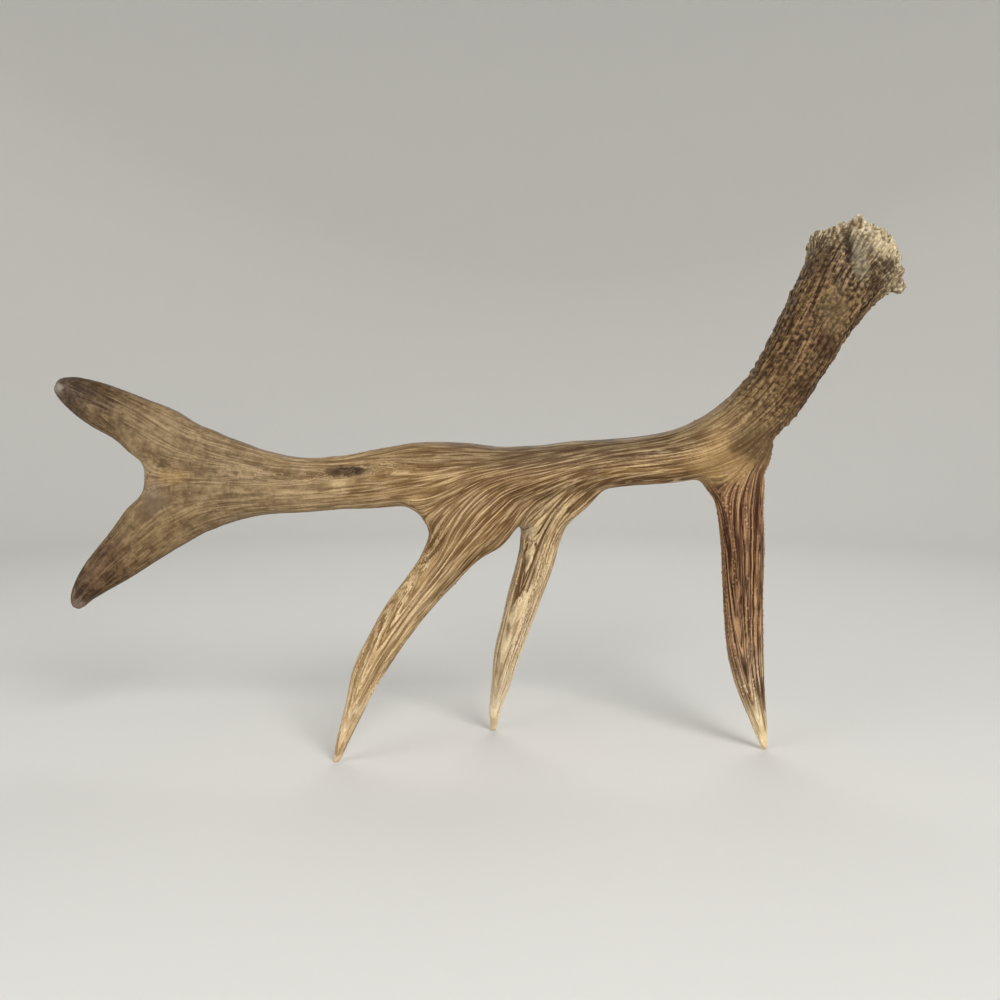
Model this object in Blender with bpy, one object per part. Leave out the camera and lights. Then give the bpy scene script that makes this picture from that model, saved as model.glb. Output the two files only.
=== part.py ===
"""A cast antler that stands on three of its five tines.

The antler is one grown piece of bone. It is lofted branch by branch, grown together into one closed skin,
and then parted at its main forks into eight solids that meet face to face.

The tables are in millimetres, Blender's scene is in metres. +Z is up, the floor is z = 0, +X points from
the forked end to the burr, and +Y points away from the front.
"""

import math

import bmesh
import bpy
from mathutils import Matrix, Vector

MM = 0.001

# Driving dimensions, in millimetres
RING_SIDES = 32  # corners in one cross-section
RING_STEP = 5.0  # between two cross-sections along a branch
SKIN_VOXEL = 2.2  # the grid on which the branches grow together
CUT_GAP = 0.3  # left between two pieces where they part
FACETS_WANTED = 8000  # triangles in the whole skin before it is parted
KNOB_RING_RADIUS = 38.0  # from the beam's axis to the middles of the burr's knobs

# Each row is one cross-section: x, y, z of its middle, half its width seen from the front, half its depth.
BEAM = (
    (350, 53, 452, 13, 13),
    (349, 52, 450, 26, 25),
    (346.5, 48, 446, 35.5, 35),
    (342, 43, 439, 40.5, 41),
    (336.5, 38.5, 431.5, 41, 40.5),
    (329, 33, 422, 37.5, 36.5),
    (320.5, 28.5, 409.5, 34.5, 33),
    (309, 24, 392, 32, 30.5),
    (297.5, 20, 374, 30, 28.5),
    (279.5, 15, 343, 28.3, 27),
    (257.5, 11, 311, 27.3, 26),
    (229, 8, 284, 27, 26),
    (195, 5, 266, 25.5, 24),
    (160, 3, 258.5, 22.5, 21),
    (123, 0, 255, 21.5, 20),
    (87, -2, 251, 23.5, 21),
    (53, -4, 246.5, 24.2, 22),
    (18, -5, 243.3, 26.3, 23),
    (-17, -4, 244, 29, 23),
    (-53, -2, 245, 28, 22),
    (-88, 0, 241, 26.5, 20),
    (-124, 2, 237, 24, 18.5),
    (-160, 5, 235, 25, 17.5),
    (-196, 8, 237, 30, 16.5),
    (-225, 11, 239, 40, 15.5),
    (-245, 12, 240, 48, 15),
    (-264, 13, 240, 43, 14),
    (-280, 14, 239, 35, 12.5),
    (-294, 14, 238.5, 22, 11),
    (-303, 14, 238, 10, 8),
)
TOP_FORK_TINE = (
    (-225, 11, 243, 32, 15),
    (-247, 12, 252, 32.5, 15),
    (-270, 14, 265.5, 31, 14.5),
    (-292, 15, 279.5, 28.5, 14),
    (-317, 17, 294.5, 23, 13),
    (-344, 18, 307, 20.5, 12),
    (-364, 19, 317, 15.5, 10.5),
    (-375, 20, 322, 11, 8.5),
    (-381, 20, 325, 6, 5.5),
)
LOW_FORK_TINE = (
    (-225, 11, 236, 32, 15),
    (-247, 12, 228.5, 33, 15),
    (-270, 14, 216, 32.5, 14.5),
    (-292.5, 15, 199.5, 29.5, 14),
    (-319, 14, 175, 23, 13),
    (-344.5, 12, 152.5, 16.7, 11.5),
    (-358, 10, 137.5, 11, 9),
    (-363, 9, 128, 7, 6.5),
    (-365.5, 9, 124, 4, 4),
)
BROW_TINE = (
    (240, 10, 292, 22, 20),
    (233, 9, 275, 30, 24),
    (225, 7, 250, 30.5, 23),
    (230, 5, 231, 23.8, 20),
    (232, 4, 212, 20.3, 18.5),
    (234.2, 2, 181, 19, 18),
    (234.2, 0, 150, 18, 17.5),
    (234.8, -3, 119, 17, 16.5),
    (236.5, -5, 88, 16, 15.5),
    (240, -7, 61, 13.2, 13),
    (246, -9, 35, 9, 9),
    (251, -10, 13, 5.4, 5.4),
    (254, -11, 0, 2.9, 2.9),
    (256, -11, -8, 1.6, 1.6),
)
FRONT_TINE = (
    (22, -3, 244, 22, 16),
    (5, -6, 225, 38, 20),
    (-11, -10, 202, 37.5, 21),
    (-23, -14, 181.5, 24.5, 20),
    (-36, -18, 162, 19.6, 18.5),
    (-51, -22, 144, 17.6, 17),
    (-68, -25, 122, 16.8, 16),
    (-82, -29, 100, 15.2, 15),
    (-97, -33, 73, 13.2, 13),
    (-106, -37, 48, 9.2, 9.2),
    (-115.5, -41, 22, 6.4, 6.4),
    (-121, -44, 4, 3.9, 3.9),
    (-122.5, -45, 0, 3.2, 3.2),
    (-125, -46, -8, 1.8, 1.8),
)
FRONT_CROTCH = (
    (-78, -2, 232, 8, 12),
    (-62, -4, 225, 9, 14),
    (-47, -7, 216, 9, 15),
    (-38, -11, 200, 8, 14),
    (-36, -14, 182, 6, 12),
)
BACK_CROTCH = (
    (54, -1, 240, 12, 15),
    (42, 0, 226, 11, 15),
    (36, 1, 214, 9, 14),
    (34, 1, 199, 8, 12),
)
BACK_TINE = (
    (99, 0, 253, 24, 14),
    (78, 3, 236, 28, 17),
    (60.5, 8, 212, 23.5, 18),
    (55, 13, 190, 18.8, 17),
    (50, 18, 163, 16.8, 16.2),
    (41, 24, 134, 15.8, 15.4),
    (33, 29, 105, 13.8, 14),
    (24.5, 35, 76, 12.2, 12.4),
    (19.5, 39, 50, 9.4, 9.6),
    (14, 44, 25, 6.5, 6.6),
    (12, 47, 5, 4.1, 4.1),
    (11.4, 48, 0, 3.3, 3.3),
    (10, 49, -8, 1.8, 1.8),
)

# The burr's knobs: their bearing round the axis (0 at the upper left, 90 at the back), radius of a knob,
# how far it stands out of the ring and how far towards the seal.
KNOBS = (
    (2, 8.0, 0.0, -3),
    (24, 7.0, 0.5, 2),
    (47, 8.0, 0.5, -1),
    (72, 7.0, 0.0, 2),
    (96, 8.5, 0.5, 0),
    (120, 7.0, 0.0, 3),
    (143, 8.0, 1.0, -1),
    (163, 7.5, 1.0, 1),
    (184, 7.5, 6.5, 2),
    (206, 6.5, 0.5, 2),
    (228, 6.5, -4.0, 3),
    (251, 6.5, -3.5, 2),
    (273, 6.5, -1.0, 3),
    (303, 7.0, -1.0, 5),
    (318, 4.5, -3.0, 0),
    (339, 6.0, -3.5, 1),
)

# Where branches meet: a place and the distance over which the skin is eased there.
CROTCHES = (
    ((203, 5, 236), 34),
    ((-54, -4, 213), 30),
    ((32, 3, 192), 30),
    ((92, 2, 222), 38),
    ((-290, 14, 239), 30),
    ((250, 8, 262), 30),
)

BONE_COLOURS = {
    "beam_base": (0.15, 0.11, 0.07, 1),
    "brow_tine": (0.22, 0.15, 0.09, 1),
    "mid_beam": (0.36, 0.27, 0.17, 1),
    "front_tine": (0.42, 0.33, 0.21, 1),
    "back_tine": (0.40, 0.31, 0.20, 1),
    "upper_beam": (0.28, 0.22, 0.14, 1),
    "top_fork_tine": (0.20, 0.16, 0.11, 1),
    "low_fork_tine": (0.20, 0.16, 0.11, 1),
}
BONE_ROUGHNESS = 0.55


def clear_scene():
    for old in list(bpy.data.objects):
        bpy.data.objects.remove(old, do_unlink=True)


def along_branch(rows):
    """Cross-sections every RING_STEP on a smooth curve through the rows (Catmull-Rom)."""
    points = [Vector(row) for row in rows]
    points.insert(0, 2 * points[0] - points[1])
    points.append(2 * points[-1] - points[-2])
    sections = []
    for before, start, end, after in zip(points, points[1:], points[2:], points[3:]):
        length = (Vector(end[:3]) - Vector(start[:3])).length
        steps = max(1, round(length / RING_STEP))
        for step in range(steps):
            t = step / steps
            sections.append(
                0.5
                * (
                    2 * start
                    + (end - before) * t
                    + (2 * before - 5 * start + 4 * end - after) * t**2
                    + (3 * start - before - 3 * end + after) * t**3
                )
            )
    sections.append(points[-2])
    return sections


def section_axes(sections, index):
    """The branch's direction at a section, its width's direction and its depth's direction."""
    before = Vector(sections[max(index - 1, 0)][:3])
    after = Vector(sections[min(index + 1, len(sections) - 1)][:3])
    along = (after - before).normalized()
    across = along.cross(Vector((0, 1, 0))).normalized()
    return along, across, across.cross(along).normalized()


def add_branch(shapes, rows):
    """Lofts one branch into the bmesh as a closed tube."""
    sections = along_branch(rows)
    rings = []
    for index, section in enumerate(sections):
        _, across, deep = section_axes(sections, index)
        middle = Vector(section[:3])
        ring = []
        for corner in range(RING_SIDES):
            turn = math.tau * corner / RING_SIDES
            offset = across * section[3] * math.cos(turn) + deep * section[4] * math.sin(turn)
            ring.append(shapes.verts.new((middle + offset) * MM))
        rings.append(ring)
    for near, far in zip(rings, rings[1:]):
        for corner in range(RING_SIDES):
            following = (corner + 1) % RING_SIDES
            shapes.faces.new((near[corner], near[following], far[following], far[corner]))
    shapes.faces.new(reversed(rings[0]))
    shapes.faces.new(rings[-1])


def add_knobs(shapes):
    """The ring of knobs round the burr, each a slightly stretched ball sunk in the flare."""
    sections = [Vector(row) for row in BEAM]
    ring_row = 3
    along, across, deep = section_axes(sections, ring_row)
    towards_seal = -along
    middle = Vector(BEAM[ring_row][:3])
    for bearing, radius, stands_out, forward in KNOBS:
        turn = math.radians(bearing)
        outward = deep * math.sin(turn) - across * math.cos(turn)
        place = middle + outward * (KNOB_RING_RADIUS + stands_out) + towards_seal * forward
        lean = towards_seal.to_track_quat("Z", "Y").to_matrix().to_4x4()
        stretch = Matrix.Diagonal((1.0, 1.0, 1.25, 1.0))
        bmesh.ops.create_icosphere(
            shapes,
            subdivisions=2,
            radius=radius * MM,
            matrix=Matrix.Translation(place * MM) @ lean @ stretch,
        )


def object_of(name, shapes):
    bmesh.ops.recalc_face_normals(shapes, faces=shapes.faces)
    mesh = bpy.data.meshes.new(name)
    shapes.to_mesh(mesh)
    shapes.free()
    thing = bpy.data.objects.new(name, mesh)
    bpy.context.scene.collection.objects.link(thing)
    return thing


def with_modifiers_applied(thing):
    """Replaces the object's mesh by what its modifiers make of it."""
    depsgraph = bpy.context.evaluated_depsgraph_get()
    made = bpy.data.meshes.new_from_object(thing.evaluated_get(depsgraph))
    thing.modifiers.clear()
    thing.data = made
    return thing


def grow_skin():
    """All branches and knobs as one closed skin, eased where branches meet."""
    shapes = bmesh.new()
    tines = (TOP_FORK_TINE, LOW_FORK_TINE, BROW_TINE, FRONT_TINE, BACK_TINE)
    for rows in (BEAM, *tines, FRONT_CROTCH, BACK_CROTCH):
        add_branch(shapes, rows)
    add_knobs(shapes)
    skin = object_of("skin", shapes)
    remesh = skin.modifiers.new("grow together", "REMESH")
    remesh.mode = "VOXEL"
    remesh.voxel_size = SKIN_VOXEL * MM
    with_modifiers_applied(skin)

    eased = skin.vertex_groups.new(name="eased")
    for vertex in skin.data.vertices:
        near = 0.0
        for place, reach in CROTCHES:
            distance = (vertex.co - Vector(place) * MM).length
            near = max(near, 1.0 - distance / (reach * MM))
        if near > 0.0:
            eased.add([vertex.index], min(1.0, 2.0 * near), "REPLACE")
    ease = skin.modifiers.new("ease the crotches", "SMOOTH")
    ease.vertex_group = "eased"
    ease.factor = 0.5
    ease.iterations = 26
    settle = skin.modifiers.new("settle the grid", "SMOOTH")
    settle.factor = 0.5
    settle.iterations = 2
    with_modifiers_applied(skin)

    thin = skin.modifiers.new("fewer facets", "DECIMATE")
    thin.ratio = FACETS_WANTED / (2 * len(skin.data.polygons))
    return with_modifiers_applied(skin)


def box(low, high, place=(0, 0, 0), lean=0.0, grown=0.0):
    """A cutting box in millimetres, turned about Y by lean degrees at its place and grown on every side."""
    shapes = bmesh.new()
    bmesh.ops.create_cube(shapes, size=1.0)
    spread = Vector(high) - Vector(low) + Vector((2, 2, 2)) * grown
    middle = (Vector(low) + Vector(high)) / 2
    turned = Matrix.Translation(Vector(place) * MM) @ Matrix.Rotation(math.radians(lean), 4, "Y")
    sized = Matrix.Translation(middle * MM) @ Matrix.Diagonal((*(spread * MM), 1.0))
    bmesh.ops.transform(shapes, matrix=turned @ sized, verts=shapes.verts)
    cutter = object_of("cutter", shapes)
    cutter.hide_render = True
    cutter.display_type = "WIRE"
    return cutter


def cut(body, cutter, operation):
    boolean = body.modifiers.new("cut", "BOOLEAN")
    boolean.operation = operation
    boolean.solver = "EXACT"
    boolean.object = cutter
    with_modifiers_applied(body)
    bpy.data.objects.remove(cutter, do_unlink=True)
    return body


def part_off(body, name, **shape):
    """Parts the piece inside a box off the body and leaves the gap between them."""
    piece = bpy.data.objects.new(name, body.data.copy())
    bpy.context.scene.collection.objects.link(piece)
    cut(piece, box(**shape), "INTERSECT")
    cut(body, box(**shape, grown=CUT_GAP), "DIFFERENCE")
    return piece


def finish(piece):
    """Clean triangles, smooth shading and a plain bone material."""
    shapes = bmesh.new()
    shapes.from_mesh(piece.data)
    bmesh.ops.remove_doubles(shapes, verts=shapes.verts, dist=0.02 * MM)
    bmesh.ops.dissolve_degenerate(shapes, edges=shapes.edges, dist=0.02 * MM)
    bmesh.ops.triangulate(shapes, faces=shapes.faces)
    shapes.to_mesh(piece.data)
    shapes.free()
    material = bpy.data.materials.new(piece.name + " bone")
    material.use_nodes = True
    shader = material.node_tree.nodes["Principled BSDF"]
    shader.inputs["Base Color"].default_value = BONE_COLOURS[piece.name]
    shader.inputs["Roughness"].default_value = BONE_ROUGHNESS
    shader.inputs["Metallic"].default_value = 0.0
    piece.data.materials.clear()
    piece.data.materials.append(material)
    piece.data.shade_smooth()


def centre_on_floor(pieces):
    """Moves all pieces together so that the origin is under the middle of their box."""
    places = [vertex.co for piece in pieces for vertex in piece.data.vertices]
    shift = Vector(
        (
            -(min(place.x for place in places) + max(place.x for place in places)) / 2,
            -(min(place.y for place in places) + max(place.y for place in places)) / 2,
            -min(place.z for place in places),
        )
    )
    for piece in pieces:
        piece.data.transform(Matrix.Translation(shift))


clear_scene()
antler = grow_skin()
cut(antler, box((-500, -200, -60), (500, 200, 0)), "DIFFERENCE")  # the tine tips, worn flat on the floor

parted = [
    part_off(antler, "brow_tine", low=(180, -60, -40), high=(290, 60, 222)),
    part_off(
        antler, "front_tine", low=(-44, -90, -240), high=(36, 60, 0), place=(-28, -14, 171), lean=32
    ),
    part_off(
        antler, "back_tine", low=(-22, -60, -240), high=(45, 90, 0), place=(50, 13, 180), lean=13
    ),
    part_off(
        antler, "top_fork_tine", low=(-160, -60, -60), high=(0, 90, 60), place=(-286, 15, 276), lean=35
    ),
    part_off(
        antler, "low_fork_tine", low=(-160, -60, -60), high=(0, 90, 60), place=(-288, 15, 204), lean=-42
    ),
    part_off(antler, "beam_base", low=(187, -90, 100), high=(460, 160, 560)),
    part_off(antler, "upper_beam", low=(-460, -90, 60), high=(-66, 120, 400)),
]
antler.name = "mid_beam"
parted.append(antler)
for bone in parted:
    finish(bone)
centre_on_floor(parted)
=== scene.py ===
import math

import bmesh
import bpy
import numpy as np
from mathutils import Matrix, Vector


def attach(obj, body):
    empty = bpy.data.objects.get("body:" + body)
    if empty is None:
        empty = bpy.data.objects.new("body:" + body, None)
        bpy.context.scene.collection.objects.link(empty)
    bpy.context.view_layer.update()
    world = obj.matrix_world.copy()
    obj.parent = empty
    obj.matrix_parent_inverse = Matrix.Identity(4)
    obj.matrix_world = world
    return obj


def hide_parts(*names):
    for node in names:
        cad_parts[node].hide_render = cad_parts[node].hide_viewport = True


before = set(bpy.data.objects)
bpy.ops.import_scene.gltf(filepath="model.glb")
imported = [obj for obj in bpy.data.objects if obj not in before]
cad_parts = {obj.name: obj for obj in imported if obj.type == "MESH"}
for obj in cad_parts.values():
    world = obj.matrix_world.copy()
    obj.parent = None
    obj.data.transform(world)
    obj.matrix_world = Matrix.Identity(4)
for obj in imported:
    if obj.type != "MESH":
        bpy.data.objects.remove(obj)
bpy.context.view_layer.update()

# ==== The grown bone ====
# A cast antler is one piece of dense bone, grown outwards from the burr in one season. The frame
# parts it at its main forks, so its parts are joined here into one skin again. Everything that grew
# across the forks is worked on this skin, and it is parted along the same planes further down.

MM = 0.001
CENTRED = np.array((-2.3, -18.8, 0.0))  # mm, from the tables of the centre lines to the frame
SKIN_STEP = 1.9  # mm between the points of the skin
CUT_OVERLAP = 0.8  # mm that each part reaches into the next while they are joined
ON_PLANE = 0.5  # mm from a cutting plane within which a flat face is a cut face
SAME_WAY = 0.999  # cosine above which two directions count as the same

PARTINGS = {
    # Two corners of a box, the place that it is turned about (mm) and its lean in degrees, then the
    # axis and side of the face of the box that cuts the antler.
    "brow_tine": ((180, -60, -40), (290, 60, 222), (0, 0, 0), 0, 2, 1),
    "front_tine": ((-44, -90, -240), (36, 60, 0), (-28, -14, 171), 32, 2, 1),
    "back_tine": ((-22, -60, -240), (45, 90, 0), (50, 13, 180), 13, 2, 1),
    "top_fork_tine": ((-160, -60, -60), (0, 90, 60), (-286, 15, 276), 35, 0, 1),
    "low_fork_tine": ((-160, -60, -60), (0, 90, 60), (-288, 15, 204), -42, 0, 1),
    "beam_base": ((187, -90, 100), (460, 160, 560), (0, 0, 0), 0, 0, -1),
    "upper_beam": ((-460, -90, 60), (-66, 120, 400), (0, 0, 0), 0, 0, 1),
}


def turned_about_y(lean):
    return np.array(Matrix.Rotation(math.radians(lean), 3, "Y"))


def cut_plane(name):
    """A point of the plane that parts a piece off, and its normal out of the piece, in mm."""
    low, high, place, lean = (np.array(x, float) for x in PARTINGS[name][:4])
    axis, side = PARTINGS[name][4:]
    normal = np.zeros(3)
    normal[axis] = side
    middle = (low + high) / 2
    middle[axis] = high[axis] if side > 0 else low[axis]
    turn = turned_about_y(float(lean))
    return turn @ middle + place + CENTRED, turn @ normal


def inside_box(points, name, margin=0.0):
    low, high, place, lean = (np.array(x, float) for x in PARTINGS[name][:4])
    local = (points - place - CENTRED) @ turned_about_y(float(lean))
    return np.all((local > low - margin) & (local < high + margin), axis=1)


def numbers(mesh, items, field, width, kind=np.float64):
    out = np.zeros(len(getattr(mesh, items)) * width, kind)
    getattr(mesh, items).foreach_get(field, out)
    return out.reshape(-1, width) if width > 1 else out


def linked(mesh):
    """Every pair of neighbouring points, both ways round, and how many neighbours a point has."""
    edges = numbers(mesh, "edges", "vertices", 2, np.int32)
    both_ways = np.concatenate((edges, edges[:, ::-1]))
    return both_ways, np.bincount(both_ways[:, 0], minlength=len(mesh.vertices))


def placed(name, mesh):
    made = bpy.data.objects.new(name, mesh)
    bpy.context.scene.collection.objects.link(made)
    return made


def settled(source, name):
    """The plain mesh of an object with all its modifiers applied; the object itself is removed."""
    graph = bpy.context.evaluated_depsgraph_get()
    mesh = bpy.data.meshes.new_from_object(source.evaluated_get(graph), depsgraph=graph)
    mesh.name = name
    bpy.data.objects.remove(source, do_unlink=True)
    return mesh


joined = bmesh.new()
for node_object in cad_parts.values():
    joined.from_mesh(node_object.data)
bmesh.ops.remove_doubles(joined, verts=joined.verts, dist=0.02 * MM)
joined.normal_update()
for cut_name in PARTINGS:
    plane_point, plane_normal = cut_plane(cut_name)
    for direction in (1, -1):
        out = Vector(plane_normal * direction)
        cut_faces = [
            face
            for face in joined.faces
            if face.normal.dot(out) > SAME_WAY
            and abs((face.calc_center_median() - Vector(plane_point * MM)).dot(out)) < ON_PLANE * MM
        ]
        grown = bmesh.ops.extrude_face_region(joined, geom=cut_faces)
        moved = [v for v in grown["geom"] if isinstance(v, bmesh.types.BMVert)]
        bmesh.ops.translate(joined, verts=moved, vec=out * CUT_OVERLAP * MM)
        bmesh.ops.delete(joined, geom=[f for f in cut_faces if f.is_valid], context="FACES_ONLY")
whole = bpy.data.meshes.new("whole")
joined.to_mesh(whole)
joined.free()
skin_object = placed("skin", whole)
remesh = skin_object.modifiers.new("one skin", "REMESH")
remesh.mode = "VOXEL"
remesh.voxel_size = SKIN_STEP * MM
skin = settled(skin_object, "skin")

points = numbers(skin, "vertices", "co", 3) / MM
both_ways, degree = linked(skin)


def neighbour_mean(values, links=both_ways, count=degree):
    if values.ndim == 1:
        return np.bincount(links[:, 0], values[links[:, 1]], len(count)) / count
    return np.stack([neighbour_mean(v, links, count) for v in values.T], axis=1)


SMOOTHING_ROUNDS = 36
INWARDS, OUTWARDS = 0.62, 0.645  # a round smooths the facets away, then gives back the volume
FORK_EDGES = (  # mm: two places on the terminal fork that are rounded off further, and their reach
    ((-303, 14, 238), 30),
    ((-238, 16, 285), 34),
)
FORK_ROUNDS = 46
for _ in range(SMOOTHING_ROUNDS):
    points += INWARDS * (neighbour_mean(points) - points)
    points -= OUTWARDS * (neighbour_mean(points) - points)
for place, reach in FORK_EDGES:
    near = 1.6 * (1 - np.linalg.norm(points - CENTRED - place, axis=1) / reach)
    ease = 0.6 * np.clip(near, 0, 1)[:, None]
    for _ in range(FORK_ROUNDS):
        points += ease * (neighbour_mean(points) - points)
skin.vertices.foreach_set("co", (points * MM).ravel())
skin.update()

# ==== The grain of the bone ====
# Blood vessels in the velvet ran from the burr to each tip and left their grooves in the bone, so
# all its lines follow the growth. Each point of the skin gets the distance grown to it, and the
# bearing round the burr that its line of growth started from; the lines part at the forks by
# themselves.

GROWTH = {  # mm along each centre line: across, deep, up, and the radius there
    "beam": (
        (350, 53, 452, 30), (342, 43, 439, 43), (329, 33, 422, 37), (309, 24, 392, 32),
        (279.5, 15, 343, 28), (257.5, 11, 311, 27), (229, 8, 284, 27), (195, 5, 266, 25.5),
        (160, 3, 258.5, 22.5), (123, 0, 255, 21.5), (87, -2, 251, 23), (53, -4, 246.5, 25),
        (18, -5, 243.3, 26.3), (-17, -4, 244, 29), (-53, -2, 245, 28), (-88, 0, 241, 26.5),
        (-124, 2, 237, 24), (-160, 5, 235, 25), (-196, 8, 237, 30), (-225, 11, 239, 34),
        (-245, 12, 240, 36), (-275, 13, 239, 30),
    ),
    "brow": (
        (240, 10, 292, 9), (228, 7, 262, 16), (230, 5, 231, 22), (232, 4, 212, 20.3),
        (234.2, 2, 181, 19), (234.2, 0, 150, 18), (234.8, -3, 119, 17), (236.5, -5, 88, 16),
        (240, -7, 61, 13.2), (246, -9, 35, 9), (251, -10, 13, 5.4), (254, -11, 0, 3),
    ),
    "front": (
        (22, -3, 244, 9), (5, -6, 225, 22), (-11, -10, 202, 32), (-23, -14, 181.5, 24.5),
        (-36, -18, 162, 19.6), (-51, -22, 144, 17.6), (-68, -25, 122, 16.8), (-82, -29, 100, 15.2),
        (-97, -33, 73, 13.2), (-106, -37, 48, 9.2), (-115.5, -41, 22, 6.4), (-122.5, -45, 0, 3.2),
    ),
    "back": (
        (99, 0, 253, 8), (78, 3, 236, 18), (60.5, 8, 212, 23), (55, 13, 190, 18.8),
        (50, 18, 163, 16.8), (41, 24, 134, 15.8), (33, 29, 105, 13.8), (24.5, 35, 76, 12.2),
        (19.5, 39, 50, 9.4), (14, 44, 25, 6.5), (11.4, 48, 0, 3.3),
    ),
    "top fork": (
        (-225, 11, 243, 12), (-247, 12, 252, 18), (-292, 15, 279.5, 28), (-317, 17, 294.5, 23),
        (-344, 18, 307, 20.5), (-364, 19, 317, 17), (-381, 20, 325, 10),
    ),
    "low fork": (
        (-225, 11, 236, 12), (-247, 12, 228.5, 18), (-292.5, 15, 199.5, 28), (-319, 14, 175, 23),
        (-344.5, 12, 152.5, 16.7), (-358, 10, 137.5, 12), (-365.5, 9, 124, 7),
    ),
}
STARTED_FROM = {"brow": 5, "front": 12, "back": 10, "top fork": 19, "low fork": 19}  # beam rows
LINE_STEP = 3  # mm between the points of a centre line
FOOT = 14  # mm of growth at the burr that stay as measured
TIP = 8  # mm of growth at each tip that stay as measured
ROUNDS = {"line": 12, "growth": 320, "share": 25, "heading": 8, "fan": 30}  # of smoothing for each


def centre_line(rows):
    """Points in even steps on a centre line, with the radius and the row number at each."""
    rows = np.array(rows, float)
    run = np.concatenate(([0], np.cumsum(np.linalg.norm(np.diff(rows[:, :3], axis=0), axis=1))))
    along = np.linspace(0, run[-1], int(run[-1] / LINE_STEP) + 1)
    line = np.stack([np.interp(along, run, rows[:, k]) for k in range(4)], axis=1)
    for _ in range(ROUNDS["line"]):
        line[1:-1] += 0.5 * ((line[:-2] + line[2:]) / 2 - line[1:-1])
    return line, along, np.interp(along, run, np.arange(len(rows)))


def nearest_on(line):
    """For each point of the skin, which point of a line is nearest, and how far away it is."""
    gap = (points**2).sum(1)[:, None] - 2 * points @ line.T + (line**2).sum(1)
    nearest = gap.argmin(1)
    return nearest, np.sqrt(np.maximum(gap[np.arange(len(points)), nearest], 0))


grown_to = {}
closeness, path_there, row_there = [], [], []
beam_line, beam_path, beam_rows = centre_line(GROWTH["beam"])
for branch, rows in GROWTH.items():
    line, along, row_at = centre_line(rows)
    started = 0.0
    if branch in STARTED_FROM:
        started = float(np.interp(STARTED_FROM[branch], beam_rows, beam_path))
    nearest, distance = nearest_on(line[:, :3] + CENTRED)
    closeness.append(distance / line[nearest, 3])
    path_there.append(started + along[nearest])
    row_there.append(row_at[nearest])
    grown_to[branch] = started + along[-1]
closeness, path_there, row_there = (np.array(x) for x in (closeness, path_there, row_there))
share = np.exp(-8 * (closeness - closeness.min(0)))
share /= share.sum(0)
growth = (share * path_there).sum(0)
fixed = growth < FOOT
for index, branch in enumerate(GROWTH):
    if branch != "beam":
        fixed |= (share[index] > 0.9) & (path_there[index] > grown_to[branch] - TIP)
for _ in range(ROUNDS["growth"]):
    growth = np.where(fixed, growth, neighbour_mean(growth))
share = share.T
for _ in range(ROUNDS["share"]):
    share = neighbour_mean(share)
share = dict(zip(GROWTH, share.T))
rows_along = dict(zip(GROWTH, row_there))

normals = numbers(skin, "vertex_normals", "vector", 3)
steps = points[both_ways[:, 1]] - points[both_ways[:, 0]]
spread_matrix = np.zeros((len(points), 3, 3))
for i in range(3):
    for j in range(3):
        products = steps[:, i] * steps[:, j]
        spread_matrix[:, i, j] = np.bincount(both_ways[:, 0], products, len(points))
spread_matrix += normals[:, :, None] * normals[:, None, :] * 5  # no slope off the skin


def slope(values):
    """The slope of a value along the skin, in its units for each mm."""
    rise = values[both_ways[:, 1]] - values[both_ways[:, 0]]
    side = [np.bincount(both_ways[:, 0], steps[:, k] * rise, len(points)) for k in range(3)]
    return np.linalg.solve(spread_matrix, np.stack(side, axis=1)[:, :, None])[:, :, 0]


def unit(vectors):
    return vectors / np.maximum(np.linalg.norm(vectors, axis=-1, keepdims=True), 1e-9)


heading = slope(growth)
for _ in range(ROUNDS["heading"]):
    heading = neighbour_mean(heading)
heading = unit(heading - normals * (heading * normals).sum(1, keepdims=True))

# Each point takes its bearing from the edge that its line of growth came in over.
skin.calc_loop_triangles()
triangles = numbers(skin, "loop_triangles", "vertices", 3, np.int32)
corner = np.concatenate([np.roll(triangles, -k, axis=1) for k in range(3)])
first = points[corner[:, 1]] - points[corner[:, 0]]
second = points[corner[:, 2]] - points[corner[:, 0]]
came = -heading[corner[:, 0]]
aa, ab, bb = (first * first).sum(1), (first * second).sum(1), (second * second).sum(1)
ca, cb = (came * first).sum(1), (came * second).sum(1)
det = np.maximum(aa * bb - ab * ab, 1e-12)
weight_a, weight_b = (ca * bb - cb * ab) / det, (cb * aa - ca * ab) / det
fit = np.minimum(weight_a, weight_b) / (np.abs(weight_a) + np.abs(weight_b) + 1e-9)
best = np.argsort(fit, kind="stable")
came_over = np.zeros((len(points), 2), np.int64)
came_over[corner[best, 0]] = corner[best, 1:]
part_second = np.zeros(len(points))
clipped_a, clipped_b = np.maximum(weight_a, 0), np.maximum(weight_b, 0)
part_second[corner[best, 0]] = (clipped_b / (clipped_a + clipped_b + 1e-9))[best]

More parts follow.
